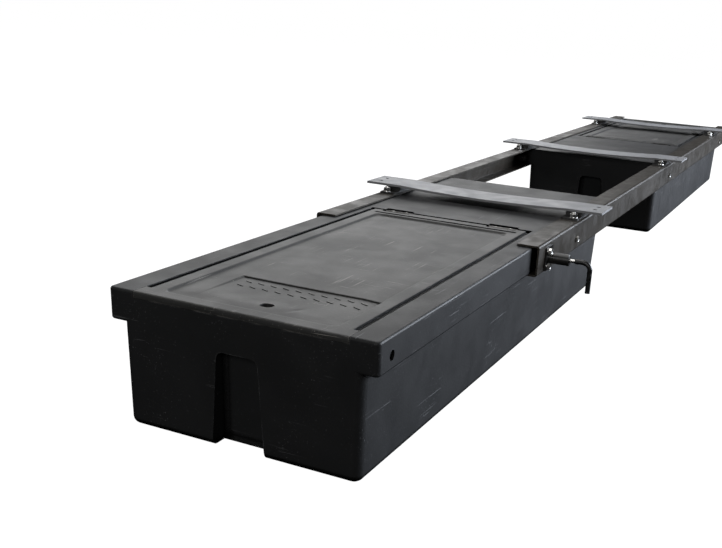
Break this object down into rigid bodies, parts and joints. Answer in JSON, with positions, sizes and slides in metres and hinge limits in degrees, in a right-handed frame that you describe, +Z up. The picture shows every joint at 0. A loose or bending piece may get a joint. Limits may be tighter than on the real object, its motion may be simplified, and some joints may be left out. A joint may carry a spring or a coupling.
{
  "type": "underfloor slide-out storage box set",
  "caption": "Twin black moulded storage boxes with hinged lids that slide out of steel C-rails hung from crossbars, held shut by spring pin latches.",
  "frame": {"origin": "middle of the middle crossbar, on its top face, at the centre of its four bolt holes", "axes": "+X along the rails towards the far end, +Z up, -Y towards the rail that carries the latches"},
  "size_m": [3.0467, 0.5373, 0.2178],
  "materials": {
    "rail": "satin dark bronze paint",
    "crossbar": "light grey satin coat",
    "standoff": "black paint",
    "zinc": "bright zinc plate",
    "shell": "rotomoulded polyethylene",
    "lid": "rotomoulded polyethylene, scuffed",
    "hinge": "dulled dark steel",
    "rubber": "moulded rubber",
    "latch_steel": "black paint",
    "spring": "spring steel",
    "sleeve": "dipped black sleeve"
  },
  "bodies": {
    "rail_frame": {"left_rail": "rail", "right_rail": "rail", "near_crossbar": "crossbar", "middle_crossbar": "crossbar", "far_crossbar": "crossbar", "standoffs": "standoff", "weld_studs": "zinc", "stud_washers": "zinc", "stud_nuts": "zinc", "travel_stop_bolts": "zinc", "travel_stop_nuts": "zinc", "middle_buffers": "rubber", "buffer_bolts": "zinc", "near_latch_plate": "latch_steel", "near_latch_bolts": "zinc", "near_latch_nuts": "zinc", "near_latch_barrel": "latch_steel", "near_latch_spring": "spring", "far_latch_plate": "latch_steel", "far_latch_bolts": "zinc", "far_latch_nuts": "zinc", "far_latch_barrel": "latch_steel", "far_latch_spring": "spring"},
    "near_box": {"near_box_shell": "shell", "near_hinge_box_leaves": "hinge", "near_hinge_pins": "zinc", "near_hinge_box_screws": "zinc", "near_stop_lugs": "zinc"},
    "near_lid": {"near_lid": "lid", "near_hinge_lid_leaves": "hinge", "near_hinge_lid_screws": "zinc"},
    "near_latch_seat": {"near_latch_spring_seat": "spring"},
    "near_latch_handle": {"near_latch_pin": "zinc", "near_latch_sleeve": "sleeve"},
    "far_box": {"far_box_shell": "shell", "far_hinge_box_leaves": "hinge", "far_hinge_pins": "zinc", "far_hinge_box_screws": "zinc", "far_stop_lugs": "zinc"},
    "far_lid": {"far_lid": "lid", "far_hinge_lid_leaves": "hinge", "far_hinge_lid_screws": "zinc"},
    "far_latch_seat": {"far_latch_spring_seat": "spring"},
    "far_latch_handle": {"far_latch_pin": "zinc", "far_latch_sleeve": "sleeve"}
  },
  "joints": [
    {"name": "near_box_slide", "type": "slide", "parent": "rail_frame", "child": "near_box", "axis": [-1, 0, 0], "range_m": [-0.629, 0.302]},
    {"name": "near_lid_hinge", "type": "hinge", "parent": "near_box", "child": "near_lid", "pos_m": [-1.092, 0, -0.02455], "axis": [0, 1, 0], "range_deg": [0, 100]},
    {"name": "near_latch_pull", "type": "slide", "parent": "rail_frame", "child": "near_latch_seat", "axis": [0, -1, 0], "range_m": [0, 0.012], "stiffness_N_per_m": 800, "deforming": ["near_latch_spring"]},
    {"name": "near_latch_turn", "type": "hinge", "parent": "near_latch_seat", "child": "near_latch_handle", "pos_m": [-1.159, -0.2, -0.0468], "axis": [0, 1, 0], "continuous": true},
    {"name": "far_box_slide", "type": "slide", "parent": "rail_frame", "child": "far_box", "axis": [1, 0, 0], "range_m": [0, 0.931]},
    {"name": "far_lid_hinge", "type": "hinge", "parent": "far_box", "child": "far_lid", "pos_m": [0.463, 0, -0.02455], "axis": [0, -1, 0], "range_deg": [0, 1]},
    {"name": "far_latch_pull", "type": "slide", "parent": "rail_frame", "child": "far_latch_seat", "axis": [0, -1, 0], "range_m": [0, 0.012], "stiffness_N_per_m": 800, "deforming": ["far_latch_spring"]},
    {"name": "far_latch_turn", "type": "hinge", "parent": "far_latch_seat", "child": "far_latch_handle", "pos_m": [1.159, -0.2, -0.0468], "axis": [0, 1, 0], "continuous": true}
  ]
}
